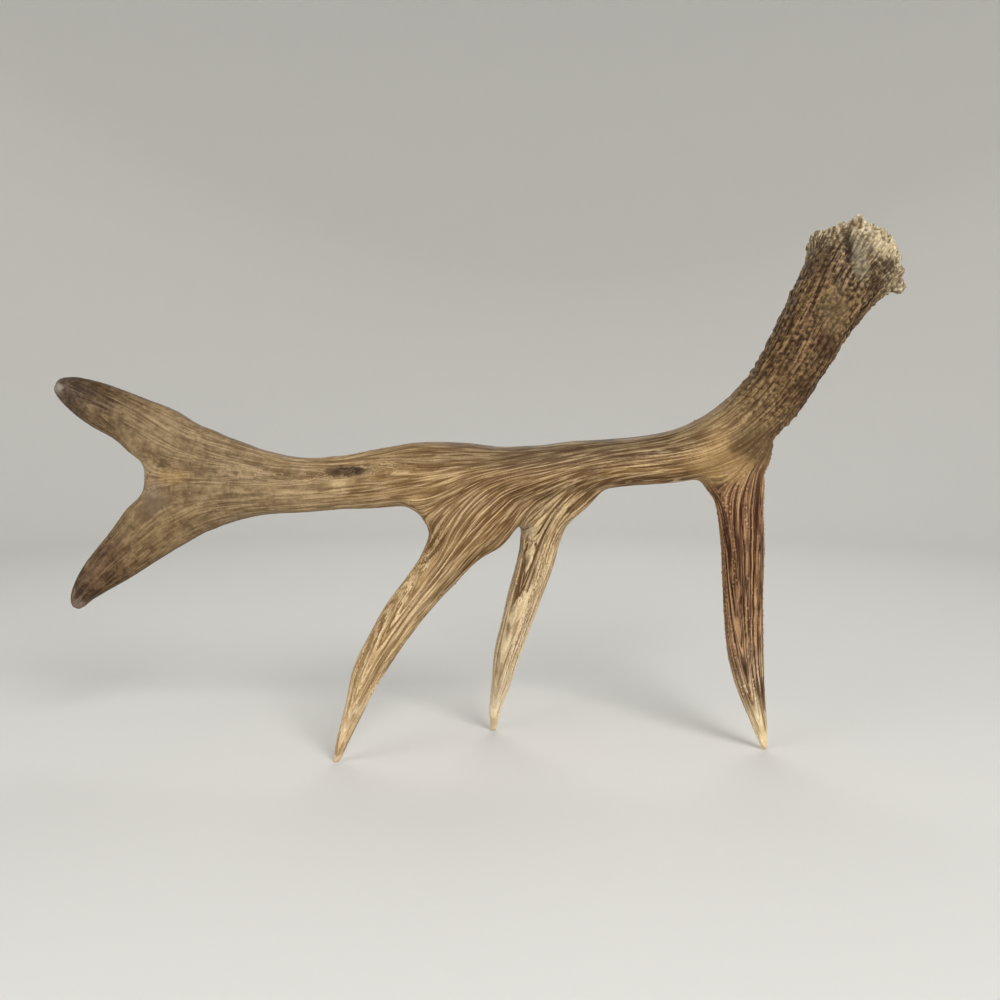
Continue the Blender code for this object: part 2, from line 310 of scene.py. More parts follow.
# The first stretch of the beam is a plain tube, so its bearings are measured from its line.
MEASURED = 60  # mm
at = beam_line[:, :3] + CENTRED
tangent = unit(np.gradient(at, axis=0))
nearest, _ = nearest_on(at)
radial = points - at[nearest]
deep_axis = np.array((0, 1.0, 0)) - tangent * tangent[:, 1:2]
deep_axis = unit(deep_axis)[nearest]
up_axis = np.cross(tangent[nearest], deep_axis)
bearing = unit(np.stack(((radial * deep_axis).sum(1), (radial * up_axis).sum(1)), axis=1))
known = (growth < MEASURED) | (nearest * LINE_STEP < MEASURED) & (share["beam"] > 0.9)
u_list, v_list = bearing[:, 0].tolist(), bearing[:, 1].tolist()
over_a, over_b = came_over[:, 0].tolist(), came_over[:, 1].tolist()
parts = part_second.tolist()
for _ in range(2):
    for i in np.argsort(growth, kind="stable")[int(known.sum() * 0.8):].tolist():
        if known[i]:
            continue
        a, b, t = over_a[i], over_b[i], parts[i]
        uu = u_list[a] * (1 - t) + u_list[b] * t
        vv = v_list[a] * (1 - t) + v_list[b] * t
        size = math.hypot(uu, vv) or 1.0
        u_list[i], v_list[i] = uu / size, vv / size
bearing = np.stack((u_list, v_list), axis=1)
turn_rate = np.sqrt((slope(bearing[:, 0]) ** 2).sum(1) + (slope(bearing[:, 1]) ** 2).sum(1))
fan = np.log2(np.clip(1 / np.maximum(turn_rate, 1e-4), 4, 300))  # of the mm for each radian
for _ in range(ROUNDS["fan"]):
    fan = neighbour_mean(fan)

# ==== The fine skin ====
# The skin is divided once more, to about 0.9 mm, and takes the values of the grain with it.


FIELDS = {1: ("FLOAT", "value"), 3: ("FLOAT_VECTOR", "vector"), 4: ("FLOAT_COLOR", "color")}


def store(mesh, name, values):
    values = np.asarray(values, np.float32)
    kind, field = FIELDS[1 if values.ndim == 1 else values.shape[1]]
    mesh.attributes.new(name, kind, "POINT").data.foreach_set(field, values.ravel())


def stored(mesh, name, width=1):
    data = mesh.attributes[name].data
    out = np.zeros(len(data) * width, np.float32)
    data.foreach_get(FIELDS[width][1], out)
    out = out.astype(np.float64)
    return out.reshape(-1, width) if width > 1 else out


store(skin, "flow", np.column_stack((bearing, growth)))
store(skin, "fan", fan)
for branch in GROWTH:
    store(skin, "share " + branch, share[branch])
    store(skin, "row " + branch, rows_along[branch])
skin_object = placed("skin", skin)
finer = skin_object.modifiers.new("finer", "SUBSURF")
finer.levels = finer.render_levels = 1
fine = settled(skin_object, "fine skin")
points = numbers(fine, "vertices", "co", 3) / MM
fine_links = linked(fine)
normals = numbers(fine, "vertex_normals", "vector", 3)
flow = stored(fine, "flow", 3)
flow[:, :2] = unit(flow[:, :2])
growth = flow[:, 2]
fan = stored(fine, "fan")
share = {branch: stored(fine, "share " + branch) for branch in GROWTH}
rows_along = {branch: stored(fine, "row " + branch) for branch in GROWTH}
taken = [key + branch for branch in GROWTH for key in ("share ", "row ")]
for key in (*taken, "fan", "flow"):
    fine.attributes.remove(fine.attributes[key])

# ==== The relief ====
# While it grew, vessels pressed grooves into the bone and pearls stood up between them: coarse on
# the burr and the base, beaded on the brow tine, fluted on the other tines and almost gone on the
# polished fork and tips.


def lattice_noise(x, y, z, seed):
    """Smooth noise between about -1 and 1 whose features are one unit across."""
    cells = [np.floor(c).astype(np.int64) for c in (x, y, z)]
    part = [c - cell for c, cell in zip((x, y, z), cells)]
    ease = [p * p * p * (p * (p * 6 - 15) + 10) for p in part]
    total = np.zeros(len(x))
    for dx in (0, 1):
        for dy in (0, 1):
            for dz in (0, 1):
                key = (cells[0] + dx) * 374761393 + (cells[1] + dy) * 668265263
                key = (key + (cells[2] + dz) * 1274126177 + seed * 974711) & 0xFFFFFFFF
                key = ((key ^ (key >> 13)) * 1103515245) & 0xFFFFFFFF
                key = key ^ (key >> 16)
                lean = SLOPES[key & 255]
                rise = lean[:, 0] * (part[0] - dx)
                rise += lean[:, 1] * (part[1] - dy)
                rise += lean[:, 2] * (part[2] - dz)
                wx = ease[0] if dx else 1 - ease[0]
                wy = ease[1] if dy else 1 - ease[1]
                wz = ease[2] if dz else 1 - ease[2]
                total += wx * wy * wz * rise
    return total * 1.6


SLOPES = unit(np.random.default_rng(7).normal(size=(256, 3)))  # one for each corner's key


OCTAVES_APART = 31.7  # keeps the noise of one octave clear of the next


def grain_noise(pitch, length, seed):
    """Noise drawn out along the growth: pitch mm across the lines and length mm along them."""
    octave = np.clip(fan - math.log2(pitch), 0, 8)
    lower = np.floor(octave)
    mix = octave - lower
    mix = mix * mix * (3 - 2 * mix)
    total = np.zeros(len(points))
    for step, weight in ((0, 1 - mix), (1, mix)):
        times = 2.0 ** (lower + step)
        along = growth / length + OCTAVES_APART * (lower + step)
        total += weight * lattice_noise(flow[:, 0] * times, flow[:, 1] * times, along, seed)
    return total / np.sqrt(mix**2 + (1 - mix) ** 2)


def lump_noise(size, seed):
    return lattice_noise(*(points.T / size), seed)


def between(values, start, end):
    """0 before start and 1 after end, eased."""
    t = np.clip((values - start) / (end - start), 0, 1)
    return t * t * (3 - 2 * t)


def along_branches(table):
    """A value set at rows of the centre lines, blended over the forks; 0 on a branch left out."""
    total = sum(share.values())
    out = 0
    for branch, stops in table.items():
        at = np.array([s[0] for s in stops], float)
        what = np.array([s[1] for s in stops], float)
        if what.ndim == 1:
            value = np.interp(rows_along[branch], at, what)
            out = out + value * share[branch] / total
        else:
            value = np.stack([np.interp(rows_along[branch], at, w) for w in what.T], axis=1)
            out = out + value * (share[branch] / total)[:, None]
    return out


GROOVE_DEPTH = {  # mm at rows of the centre lines
    "beam": (
        (0, 0.2), (3, 0.35), (5, 0.3), (6.6, 0.1), (8, 0.2), (12, 0.16), (16, 0.14), (19, 0.05),
    ),
    "brow": ((0, 0.2), (1, 0.5), (3, 1.0), (7, 0.95), (9, 0.55), (10, 0.2), (11, 0)),
    "front": ((0, 0.35), (3, 0.6), (6, 0.6), (8, 0.4), (9, 0.2), (10, 0.05)),
    "back": ((0, 0.4), (3, 0.9), (6, 0.8), (8, 0.4), (9, 0.15), (10, 0)),
    "top fork": ((0, 0.05), (3, 0.06), (6, 0.08)),
    "low fork": ((0, 0.05), (2, 0.1), (5, 0.12), (6, 0.06)),
}
PEARLS = {  # how thickly the pearls stand
    "beam": ((0, 1.0), (1, 1.0), (3, 0.9), (5.2, 0.7), (6.2, 0.25), (7.2, 0.03), (9, 0), (21, 0)),
    "brow": ((0, 0.3), (2, 0.9), (6, 1.0), (8, 0.7), (9, 0.2), (10, 0), (11, 0)),
    "front": ((0, 0.0), (2, 0.0), (4, 0.06), (6, 0.02), (8, 0.0)),
    "back": ((0, 0.0), (2, 0.1), (4, 0.15), (6, 0.05), (8, 0.0)),
}
WORN = {  # how far use has polished the surface
    "beam": ((0, 0.0), (6, 0.1), (8, 0.35), (12, 0.45), (16, 0.5), (21, 0.6)),
    "brow": ((0, 0.1), (7, 0.2), (9, 0.7), (10, 1), (11, 1)),
    "front": ((0, 0.4), (5, 0.5), (8, 0.8), (10, 1), (11, 1)),
    "back": ((0, 0.3), (5, 0.45), (8, 0.8), (9.5, 1), (10, 1)),
    "top fork": ((0, 0.5), (5, 0.7), (6, 0.8)),
    "low fork": ((0, 0.5), (5, 0.7), (6, 0.8)),
}
LINED = {  # how strongly the long lines of growth are drawn
    "beam": (
        (0, 0.3), (3, 0.7), (5, 0.7), (6.6, 0.3), (8, 0.75), (10, 0.48), (13, 0.5), (16, 0.6),
        (19, 0.26), (21, 0.15),
    ),
    "brow": ((0, 0.3), (2, 0.9), (8, 1.0), (10, 0.6), (11, 0.3)),
    "front": ((0, 0.45), (3, 0.62), (9, 0.75), (11, 0.6)),
    "back": ((0, 0.8), (3, 1.0), (8, 0.8), (10, 0.3)),
    "top fork": ((0, 0.15), (2, 0.12), (6, 0.12)),
    "low fork": ((0, 0.15), (2, 0.2), (6, 0.25)),
}
BLOTCHED = {  # how strongly the stain is blotched
    "beam": ((0, 1.0), (3, 0.9), (6, 0.6), (8, 0.1), (13, 0.08), (16, 0.3), (18, 0.7), (21, 1.0)),
    "brow": ((0, 0.3), (3, 0.15), (11, 0.1)),
    "front": ((0, 0.1), (6, 0.1), (11, 0.15)),
    "back": ((0, 0.1), (6, 0.1), (10, 0.15)),
    "top fork": ((0, 1.0), (6, 1.0)),
    "low fork": ((0, 1.0), (6, 1.0)),
}
groove_depth = along_branches(GROOVE_DEPTH)
pearly = along_branches(PEARLS)
worn = along_branches(WORN)
lined = along_branches(LINED)
blotched = along_branches(BLOTCHED)

coarse = between(pearly, 0.1, 0.8) * share["beam"]
broad = grain_noise(7.0, 170, 11)
broad += (grain_noise(6.5, 40, 14) - broad) * 0.7 * coarse
flutes = grain_noise(3.4, 140, 12)
flutes += (grain_noise(3.2, 20, 15) - flutes) * 0.7 * coarse
fine_lines = grain_noise(2.0, 90, 13)
groove = between(-flutes, 0.08, 0.36) * between(broad, -0.75, 0.1)
groove = np.maximum(groove, 0.75 * between(-fine_lines, 0.12, 0.36) * between(-broad, -0.3, 0.4))
streak = 0.55 * broad + 0.45 * flutes + 0.35 * fine_lines

height = -groove_depth * groove + 0.35 * groove_depth * flutes + 0.3 * groove_depth * broad
crumbs = lump_noise(3.6, 24)
bumps = lump_noise(5.2, 26)
height += coarse * (0.6 * lump_noise(9, 21) + 1.1 * broad + 1.3 * bumps + 0.45 * crumbs)
height += 0.3 * lump_noise(26, 22) + 0.12 * lump_noise(11, 23) * (1 - 0.5 * worn)

BURR_RIM, BURR_END = 14, 42  # mm of growth to the burr's rim, and to where its knobs die out
burr = 1 - between(growth, BURR_RIM, BURR_END)
knobs = lump_noise(7.5, 31)
granules = lump_noise(3.4, 32)
ribs = grain_noise(6.0, 60, 34)
height += burr * (2.2 * knobs + 1.8 * ribs + 1.2 * granules + 0.5 * crumbs)
NOTCH_PLACE, NOTCH_SIZE, NOTCH_DEPTH = (321, 446), (3.6, 22), 3.4  # mm, across and up
FRONT_OF_BURR = 20  # mm: the notch is cut in the side that lies in front of this depth
notch = (((points[:, [0, 2]] - NOTCH_PLACE) / NOTCH_SIZE) ** 2).sum(1)
height -= NOTCH_DEPTH * np.exp(-notch) * (points[:, 1] < FRONT_OF_BURR)
seal = between(-growth, -9, -4)
pits = between(lump_noise(2.6, 33), 0.15, 0.5)
height -= (0.3 + 0.45 * seal) * burr * pits
points += normals * height[:, None]

# Three tine tips stand on the ground, each worn to a small flat.
TIP_REACH = 30.0  # mm of a tip over which it is let down to the ground
FLAT_POINTS = 12  # points of the skin that a flat takes up
for branch in ("brow", "front", "back"):
    tip = (share[branch] > 0.5) & (points[:, 2] < TIP_REACH)
    lowest = np.sort(points[tip, 2])[:FLAT_POINTS].mean()
    points[tip, 2] -= lowest * (1 - points[tip, 2] / TIP_REACH)
points[:, 2] = np.maximum(points[:, 2], 0.0)
fine.vertices.foreach_set("co", (points * MM).ravel())
fine.update()

# Pearls are small round knobs of bone, strewn over the base and threaded along the crests between
# the grooves of the brow tine.


def node(tree, kind, settings=(), **links):
    """Adds a node, sets its properties and inputs, and links the inputs given as sockets."""
    made = tree.nodes.new(kind)
    for key, value in dict(settings).items():
        setattr(made, key, value)
    for key, value in links.items():
        name = key.replace("_", " ")
        socket = made.inputs[int(key[1:])] if key[1:].isdigit() else made.inputs[name]
        if isinstance(value, bpy.types.NodeSocket):
            tree.links.new(value, socket)
        else:
            socket.default_value = value
    return made


pearl_density = np.clip(pearly, 0, 1) * between(streak, -0.1, 0.35) * (1 - 0.5 * coarse)
pearl_density *= np.where(share["brow"] > 0.5, between(-groove, -0.5, -0.1), 1)
store(fine, "pearl density", pearl_density)
PEARL_SIZES = {"Spacing": 2.5 * MM, "Radius": 2.0 * MM, "Height": 0.75 * MM, "Seed": 5}
tree = bpy.data.node_groups.new("pearls", "GeometryNodeTree")
tree.is_modifier = True
tree.interface.new_socket("Geometry", in_out="INPUT", socket_type="NodeSocketGeometry")
sockets = {}
for key in ("Spacing", "Radius", "Height"):
    sockets[key] = tree.interface.new_socket(key, in_out="INPUT", socket_type="NodeSocketFloat")
sockets["Seed"] = tree.interface.new_socket("Seed", in_out="INPUT", socket_type="NodeSocketInt")
tree.interface.new_socket("Geometry", in_out="OUTPUT", socket_type="NodeSocketGeometry")
entry = node(tree, "NodeGroupInput")
density = node(
    tree, "GeometryNodeInputNamedAttribute", {"data_type": "FLOAT"}, Name="pearl density"
)
strewn = node(
    tree, "GeometryNodeDistributePointsOnFaces", {"distribute_method": "POISSON"},
    Mesh=entry.outputs["Geometry"], Distance_Min=entry.outputs["Spacing"],
    Density_Factor=density.outputs["Attribute"], Density_Max=300000.0, Seed=entry.outputs["Seed"],
).outputs["Points"]
girth = node(
    tree, "FunctionNodeRandomValue", {"data_type": "FLOAT"}, _2=0.45, _3=1.0,
    Seed=entry.outputs["Seed"],
)
near = node(tree, "GeometryNodeProximity", {"target_element": "POINTS"}, Geometry=strewn)
which = node(tree, "GeometryNodeSampleNearest", {"domain": "POINT"}, Geometry=strewn)
size_there = node(
    tree, "GeometryNodeSampleIndex", {"data_type": "FLOAT", "domain": "POINT"},
    Geometry=strewn, Value=girth.outputs[1], Index=which.outputs["Index"],
).outputs["Value"]
reach, tall = (
    node(
        tree, "ShaderNodeMath", {"operation": "MULTIPLY"}, _0=entry.outputs[key], _1=size_there
    ).outputs["Value"]
    for key in ("Radius", "Height")
)
knob = node(
    tree, "ShaderNodeMapRange", {"interpolation_type": "SMOOTHSTEP"},
    Value=near.outputs["Distance"], From_Min=0.0, From_Max=reach, To_Min=1.0, To_Max=0.0,
).outputs["Result"]
rise = node(tree, "ShaderNodeMath", {"operation": "MULTIPLY"}, _0=tall, _1=knob)
outward = node(tree, "GeometryNodeInputNormal")
offset = node(
    tree, "ShaderNodeVectorMath", {"operation": "SCALE"},
    Vector=outward.outputs["Normal"], Scale=rise.outputs["Value"],
)
raised = node(
    tree, "GeometryNodeSetPosition",
    Geometry=entry.outputs["Geometry"], Offset=offset.outputs["Vector"],
)
marked = node(
    tree, "GeometryNodeStoreNamedAttribute", {"data_type": "FLOAT", "domain": "POINT"},
    Geometry=raised.outputs["Geometry"], Name="pearl", Value=knob,
)
real = node(tree, "GeometryNodeRealizeInstances", Geometry=marked.outputs["Geometry"])
coated = node(
    tree, "GeometryNodeSetMaterial", Geometry=real.outputs["Geometry"],
    Material=bpy.data.materials.new("bone"),
)
node(tree, "NodeGroupOutput", Geometry=coated.outputs["Geometry"])
skin_object = placed("skin", fine)
pearling = skin_object.modifiers.new("pearls", "NODES")
pearling.node_group = tree
for key, value in PEARL_SIZES.items():
    pearling[sockets[key].identifier] = value
fine = settled(skin_object, "pearled skin")
points = numbers(fine, "vertices", "co", 3) / MM
pearl = stored(fine, "pearl")
normals = numbers(fine, "vertex_normals", "vector", 3)
hollow = ((neighbour_mean(points, *fine_links) - points) * normals).sum(1)
for _ in range(2):
    hollow = 0.5 * hollow + 0.5 * neighbour_mean(hollow, *fine_links)
FULL_HOLLOW = 0.05  # mm that a point lies below its neighbours in a full hollow
hollow = np.clip(hollow / FULL_HOLLOW, -1.5, 1.5)

# ==== The colours ====
# The bone itself is ivory. Blood, sap and soil stained it brown while the velvet was rubbed off:
# darkest in the grooves and on the base, rubbed back to cream on crests and tips. Painted shade
# darkens the hollows of the relief on top of the stain.


def linear(hex_colour):
    """An sRGB hex colour as linear red, green and blue."""
    srgb = [int(hex_colour[k:k + 2], 16) / 255 for k in (1, 3, 5)]
    return [c / 12.92 if c <= 0.04045 else ((c + 0.055) / 1.055) ** 2.4 for c in srgb]


STAINS = {  # at rows of the centre lines: ground, stained groove and rubbed crest
    "beam": (
        (0, "#B9A582", "#6E5A3C", "#EFE4C8"),
        (1.0, "#A8926C", "#5E4A30", "#EADDBE"),
        (2.0, "#6A5036", "#28150A", "#C8AE84"),
        (3.0, "#5E4326", "#221005", "#AC8C60"),
        (4.4, "#5B4227", "#261406", "#A48458"),
        (5.6, "#7A5F3E", "#3E2812", "#B09468"),
        (6.6, "#AE8E5E", "#5E4020", "#D6BA8C"),
        (8, "#957449", "#3E240C", "#F0D4A4"),
        (10, "#745432", "#3C220A", "#F0D2A2"),
        (12, "#765834", "#46290E", "#E4C496"),
        (14, "#917349", "#4E3214", "#DFC296"),
        (16, "#A1865F", "#583C1E", "#D8BE96"),
        (18, "#957E5C", "#54402A", "#C0A680"),
        (20, "#8C7656", "#523C24", "#BCA480"),
    ),
    "brow": (
        (0, "#8C6A46", "#46290F", "#C8A478"),
        (3, "#5E3A25", "#2C1106", "#C99C70"),
        (5, "#50301C", "#240C03", "#C4986C"),
        (7, "#5E3A20", "#2C1206", "#DAB288"),
        (8.4, "#7E5832", "#3A1C0A", "#FFE6BC"),
        (9.2, "#E6CDA0", "#684620", "#FFF0CC"),
        (11, "#E6CA98", "#A08458", "#FFF2CC"),
    ),
    "front": (
        (0, "#765632", "#442A10", "#E8CA9A"),
        (1.5, "#7A5833", "#543616", "#F0D4A6"),
        (3, "#7A5B35", "#482C0E", "#D8BA8A"),
        (5, "#B49466", "#573816", "#F4DAB0"),
        (7, "#C2A274", "#68481F", "#F6DCB0"),
        (9, "#BF9F72", "#80603A", "#FBE6C0"),
        (11, "#C8A87C", "#886A44", "#FBE6C0"),
    ),
    "back": (
        (0, "#9C7C54", "#50320F", "#E0C496"),
        (3, "#BC9C70", "#563819", "#F8DEB0"),
        (5, "#D8BC92", "#60401E", "#FAE2BA"),
        (7, "#E8CFA6", "#76562E", "#FFEECA"),
        (9, "#FBEACA", "#9A7E56", "#FFF0CC"),
        (10, "#E8CEA2", "#A08458", "#FFF0CC"),
    ),
    "top fork": (
        (0, "#937E5E", "#664F34", "#B49D7A"),
        (2, "#907A5A", "#604A30", "#B09874"),
        (3.4, "#6C563C", "#382612", "#98805E"),
        (5, "#4C3A2A", "#281A0E", "#806C56"),
        (6, "#52423A", "#2C1E16", "#8C7C6C"),
    ),
    "low fork": (
        (0, "#937E5E", "#664F34", "#B49D7A"),
        (2, "#8A7250", "#58422A", "#B0986E"),
        (3.4, "#62492F", "#301E0C", "#94795A"),
        (5, "#5C4632", "#2A1A0C", "#947A5C"),
        (6, "#665242", "#32200F", "#9C8872"),
    ),
}
ground, stained, crest = (
    along_branches({b: [(s[0], linear(s[k])) for s in stops] for b, stops in STAINS.items()})
    for k in (1, 2, 3)
)


def toward(colours, hex_colour, amount):
    return colours + (np.array(linear(hex_colour)) - colours) * np.clip(amount, 0, 1)[:, None]


# The back of the beam weathered grey-brown.
on_beam = share["beam"]
weathered = between(normals[:, 2], -0.1, 0.7) * on_beam
weathered *= between(growth, 150, 260) * between(-growth, -600, -400)
ground = toward(ground, "#5E4E36", 0.85 * weathered)
crest = toward(crest, "#927E5C", 0.75 * weathered)
# Painted shade: the margins of the fork and the end of the beam are darkened where the surface
# turns edgewise to the front view.
margin = share["top fork"] + share["low fork"] + 0.6 * between(growth, 560, 640) * on_beam
painted_edge_shade = between(1 - np.abs(normals[:, 1]), 0.3, 0.8) * np.clip(margin, 0, 1)
ground = toward(ground, "#46382A", 0.8 * painted_edge_shade)
crest = toward(crest, "#7A6448", 0.7 * painted_edge_shade)
rubbed_rim = between(-growth, -24, -14) * between(granules + 0.5 * knobs, -0.1, 0.5)
ground = toward(ground, "#E2D2AE", rubbed_rim * between(growth, 2, 8))

lift = between(streak, 0.08, 0.5) * (1 - groove) * lined * (1 - 0.45 * share["brow"])
# Stain in the grooves, and painted shade in every hollow of the relief: both darken towards the
# stained colour.
groove_stain_and_hollow_shade = np.maximum(groove, between(hollow, 0.1, 1.1))
proud = between(-hollow, 0.15, 1.2)
STAIN_SHADE_AND_RUB_STRENGTH = {  # how strongly the grooves are stained, the hollows given painted shade and the crests rubbed
    "beam": (
        (0, 0.85), (2, 0.85), (6, 0.7), (8, 0.5), (10, 0.3), (13, 0.3), (16, 0.4), (19, 0.25),
        (21, 0.2),
    ),
    "brow": ((0, 0.85), (8, 0.85), (10, 0.3), (11, 0.1)),
    "front": ((0, 0.3), (2, 0.4), (4, 0.6), (6, 0.65), (9, 0.6), (11, 0.4)),
    "back": ((0, 0.6), (3, 0.8), (5, 0.75), (7, 0.7), (8, 0.35), (10, 0.15)),
    "top fork": ((0, 0.25), (6, 0.25)),
    "low fork": ((0, 0.25), (6, 0.3)),
}
strength = along_branches(STAIN_SHADE_AND_RUB_STRENGTH)
dark_amount = np.clip(strength * groove_stain_and_hollow_shade, 0, 1)
rubbed = np.maximum(0.7 * proud, np.where(share["brow"] > 0.5, 0.9, 0.16) * pearl)
pale_amount = np.clip(strength * np.maximum(0.7 * lift, rubbed), 0, 1)

# Single marks: a place in mm, the reach along and across the beam, a colour and its strength.
MARKS = (
    ((295, -15, 435), (13, 22), "#3C2412", 0.9),
    ((305, -12, 461), (8, 5), "#CDBB96", 0.75),
    ((357, -10, 447), (17, 12), "#F2DFB6", 0.9),
    ((340, -10, 462), (11, 7), "#E2D2AE", 0.8),
    ((331, -12, 467), (6, 6), "#6B4A2C", 0.8),
    ((331, -16, 434), (8, 22), "#908770", 0.9),
    ((321, -14, 446), (3.2, 22), "#1E1008", 0.95),
    ((357, -10, 428), (10, 7), "#34200F", 0.9),
    ((345, -14, 412), (7, 13), "#3E2818", 0.8),
    ((371, -5, 419), (8, 5), "#CDB68E", 0.8),
    ((307, -22, 386), (13, 24), "#8A7450", 0.7),
    ((299, -26, 358), (11, 13), "#3C200E", 0.85),
    ((284, -26, 312), (8, 26), "#452A16", 0.7),
    ((262, -28, 330), (7, 26), "#54391F", 0.5),
    ((236, -30, 272), (24, 17), "#56442C", 0.85),
    ((-116, -32, 248), (20, 5), "#2C1A0B", 1.0),
    ((-283, -22, 253), (6, 3.5), "#3E2A18", 0.6),
    ((-275, -22, 243), (16, 8), "#B08E5C", 0.6),
    ((-293, -22, 222), (10, 15), "#7C6C5A", 0.6),
    ((207, -32, 252), (26, 14), "#B0905F", 0.75),
    ((-380, -8, 322), (5, 5), "#9A9086", 0.9),
    ((-362, -10, 129), (5, 5), "#8E8072", 0.6),
    ((40, -20, 195), (7, 8), "#A39880", 0.5),
)
MARK_DEPTH = 24  # mm that a mark reaches into the antler
MARK_WANDER = 2.2  # mm that its edge strays
RUBBED = 0.8  # a colour whose linear red, green and blue add up to more is a rubbed place
wander = np.stack(
    [lump_noise(6, seed) + 0.6 * lump_noise(2.5, seed + 3) for seed in (41, 42, 43)], axis=1
)
for place, (long, wide), mark_colour, amount in MARKS:
    away = (points - place + MARK_WANDER * wander) / np.array((long, MARK_DEPTH, wide))
    amount = amount * between(-(away**2).sum(1), -1.7, -0.2)
    if sum(linear(mark_colour)) > RUBBED:  # it stays dark in its hollows
        amount = amount * (1 - burr * between(-granules - 0.6 * ribs, 0.0, 0.5))
    ground = toward(ground, mark_colour, amount)
    stained = toward(stained, mark_colour, 0.3 * amount)
    crest = toward(crest, mark_colour, 0.65 * amount)

opaque = np.ones(len(points))
point_values = {  # what the materials read at each point of the skin
    "flow": np.column_stack((flow[:, :2], growth * MM)),
    "octave": fan,
    "marks": np.column_stack((dark_amount, pale_amount, worn)),
    "drawn": np.column_stack((lined, blotched, np.clip(coarse + burr, 0, 1))),
    "ground": np.column_stack((ground, opaque)),
    "stained": np.column_stack((stained, opaque)),
    "crest": np.column_stack((crest, opaque)),
    "smooth normal": normals,
}
for key, values in point_values.items():
    store(fine, key, values)

# ==== Parting at the forks ====
# Each piece is cut from the skin along the plane that the frame is cut along, and closed there. The
# cut faces lie inside the bone and never show.

CUT_MARGIN = 4.0  # mm on each side of a plane in which faces are looked at
CAP_DEPTH = 0.4  # mm that the middle of a closing face is drawn into its piece
fine_mesh = bmesh.new()
fine_mesh.from_mesh(fine)
for cut_name in PARTINGS:
    plane_point, plane_normal = cut_plane(cut_name)
    centres = np.array([f.calc_center_median() for f in fine_mesh.faces]) / MM
    near_cut = inside_box(centres, cut_name, CUT_MARGIN)
    near_cut &= np.abs((centres - plane_point) @ plane_normal) < CUT_MARGIN
    fine_mesh.faces.ensure_lookup_table()
    close = [fine_mesh.faces[k] for k in np.flatnonzero(near_cut).tolist()]
    around = {e for f in close for e in f.edges}
    corners = {v for f in close for v in f.verts}
    bmesh.ops.bisect_plane(
        fine_mesh, geom=[*corners, *around, *close], dist=1e-7,
        plane_co=Vector(plane_point * MM), plane_no=Vector(plane_normal),
    )
fine_mesh.to_mesh(fine)
fine_mesh.free()

face_count = len(fine.polygons)
loop_start = numbers(fine, "polygons", "loop_start", 1, np.int64)
loop_total = numbers(fine, "polygons", "loop_total", 1, np.int64)
loop_vertex = numbers(fine, "loops", "vertex_index", 1, np.int64)
centres = numbers(fine, "polygons", "center", 3) / MM
piece_of = np.full(face_count, len(PARTINGS))
for index, cut_name in reversed(list(enumerate(PARTINGS))):
    piece_of[inside_box(centres, cut_name)] = index
all_points = numbers(fine, "vertices", "co", 3)
for key, values in point_values.items():  # the cuts added points
    point_values[key] = stored(fine, key, 1 if values.ndim == 1 else values.shape[1])
smooth_normals = point_values.pop("smooth normal")


def parted(name):
    """The closed mesh of one piece, with the surface's own normals and values."""
    names = [*PARTINGS, "mid_beam"]
    mine = np.flatnonzero(piece_of == names.index(name))
    totals = loop_total[mine]
    loops = np.concatenate([np.arange(s, s + n) for s, n in zip(loop_start[mine], totals)])
    used, local = np.unique(loop_vertex[loops], return_inverse=True)
    starts = np.concatenate(([0], np.cumsum(totals)[:-1]))
    face_of = np.repeat(np.arange(len(mine)), totals)
    position = np.arange(len(local)) - starts[face_of]
    following = local[starts[face_of] + (position + 1) % totals[face_of]]
    half_edges = set(zip(local.tolist(), following.tolist()))
    rim = {b: a for a, b in half_edges if (b, a) not in half_edges}
    faces, caps = [], []
    while rim:
        start, here = next(iter(rim.items()))
        loop = [start]
        del rim[start]
        while here != start:
            loop.append(here)
            here = rim.pop(here)
        caps.append(loop)
    vertices = all_points[used]
    extra = []
    inside = vertices.mean(0)
    for loop in caps:
        centre = vertices[loop].mean(0)
        centre += (inside - centre) / np.linalg.norm(inside - centre) * CAP_DEPTH * MM
        middle = len(used) + len(extra)
        extra.append(centre)
        faces += [(loop[k], loop[(k + 1) % len(loop)], middle) for k in range(len(loop))]
    mesh = bpy.data.meshes.new(name)
    everything = np.concatenate((vertices, np.array(extra).reshape(-1, 3)))
    mesh.vertices.add(len(everything))
    mesh.vertices.foreach_set("co", everything.ravel())
    cap_loops = np.array(faces, np.int64).ravel()
    corners = np.concatenate((local, cap_loops))
    totals = np.concatenate((totals, np.full(len(faces), 3)))
    mesh.loops.add(len(corners))
    mesh.loops.foreach_set("vertex_index", corners.astype(np.int32))
    mesh.polygons.add(len(totals))
    mesh.polygons.foreach_set(
        "loop_start", np.concatenate(([0], np.cumsum(totals)[:-1])).astype(np.int32)
    )
    mesh.update(calc_edges=True)
    mesh.validate()
    for key, values in point_values.items():
        store(mesh, key, np.concatenate((values[used], values[used][:len(extra)])))
    directions = unit(smooth_normals[used])
    corner_normals = np.zeros((len(corners), 3))
    corner_normals[:len(local)] = directions[local]
    mesh.normals_split_custom_set(corner_normals.tolist())
    piece = placed(name + "_bone", mesh)
    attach(piece, "root")
    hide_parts(name)
    return piece
